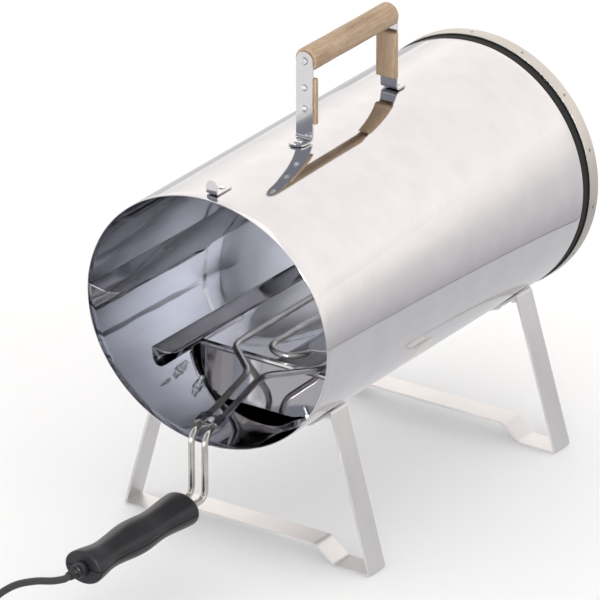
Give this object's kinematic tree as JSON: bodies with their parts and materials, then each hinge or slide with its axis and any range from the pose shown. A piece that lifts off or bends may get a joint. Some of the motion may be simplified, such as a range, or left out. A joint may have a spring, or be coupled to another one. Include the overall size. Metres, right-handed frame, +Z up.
{
  "type": "electric barrel smoker oven",
  "caption": "Table-top electric smoker oven: open polished steel barrel on bent strap legs, wooden carry handle, rails, chip tray and pull-out heating element on a corded handle.",
  "frame": {"origin": "centre of the footprint, on the surface that the legs stand on; the footprint is taken without the mains lead, its coil and its plug", "axes": "+Y along the barrel towards its rear cover, -Y out of the open front, +Z up, +X to the right seen from the front"},
  "size_m": [0.2874, 0.9532, 0.4679],
  "materials": {
    "polished_steel": "mirror-polished stainless sheet",
    "brushed_steel": "finely brushed stainless strip and sheet",
    "zinc_fastener": "bright plated fasteners, pins and crimps",
    "element_steel": "satin drawn tube",
    "beech": "oiled beech with fine grain",
    "black_plastic": "satin black moulded phenolic",
    "cord_rubber": "matte black flexible sheath",
    "seal_black": "matte black sealing band"
  },
  "bodies": {
    "shell": {"barrel": "polished_steel", "carry_grip": "beech", "chip_tray": "polished_steel", "front_leg": "brushed_steel", "front_leg_bolt_1": "zinc_fastener", "front_leg_bolt_2": "zinc_fastener", "front_leg_bolt_3": "zinc_fastener", "front_leg_bolt_4": "zinc_fastener", "front_leg_nut_1": "zinc_fastener", "front_leg_nut_2": "zinc_fastener", "front_leg_nut_3": "zinc_fastener", "front_leg_nut_4": "zinc_fastener", "grip_screw_front": "zinc_fastener", "grip_screw_rear": "zinc_fastener", "guard_rivet_front_1": "zinc_fastener", "guard_rivet_front_2": "zinc_fastener", "guard_rivet_rear_1": "zinc_fastener", "guard_rivet_rear_2": "zinc_fastener", "handle_nut_front": "zinc_fastener", "handle_nut_rear": "zinc_fastener", "handle_screw_front": "zinc_fastener", "handle_screw_rear": "zinc_fastener", "handle_strap_front": "polished_steel", "handle_strap_rear": "polished_steel", "heat_guard_front": "beech", "heat_guard_rear": "beech", "lid_latch": "polished_steel", "lid_latch_rivet": "zinc_fastener", "lower_rail_left": "polished_steel", "lower_rail_right": "polished_steel", "rear_leg": "brushed_steel", "rear_leg_bolt_1": "zinc_fastener", "rear_leg_bolt_2": "zinc_fastener", "rear_leg_bolt_3": "zinc_fastener", "rear_leg_bolt_4": "zinc_fastener", "rear_leg_nut_1": "zinc_fastener", "rear_leg_nut_2": "zinc_fastener", "rear_leg_nut_3": "zinc_fastener", "rear_leg_nut_4": "zinc_fastener", "rear_seal": "seal_black", "upper_rail_left": "polished_steel", "upper_rail_right": "polished_steel"},
    "rear_cover": {"rear_cover": "brushed_steel"},
    "element": {"clamp_lower": "polished_steel", "clamp_nut": "zinc_fastener", "clamp_screw": "zinc_fastener", "clamp_upper": "polished_steel", "handle_lower": "black_plastic", "handle_upper": "black_plastic", "heating_element": "element_steel", "lead_coil": "cord_rubber", "mains_lead": "cord_rubber", "plug_body": "cord_rubber", "plug_pin_front": "zinc_fastener", "plug_pin_rear": "zinc_fastener", "strain_relief": "black_plastic", "terminal_left": "zinc_fastener", "terminal_right": "zinc_fastener"}
  },
  "joints": [
    {"name": "element_slide", "type": "slide", "parent": "shell", "child": "element", "axis": [0, -1, 0], "range_m": [0, 0.4]},
    {"name": "rear_cover_slide", "type": "slide", "parent": "shell", "child": "rear_cover", "axis": [0, 1, 0], "range_m": [0, 0.06]}
  ]
}
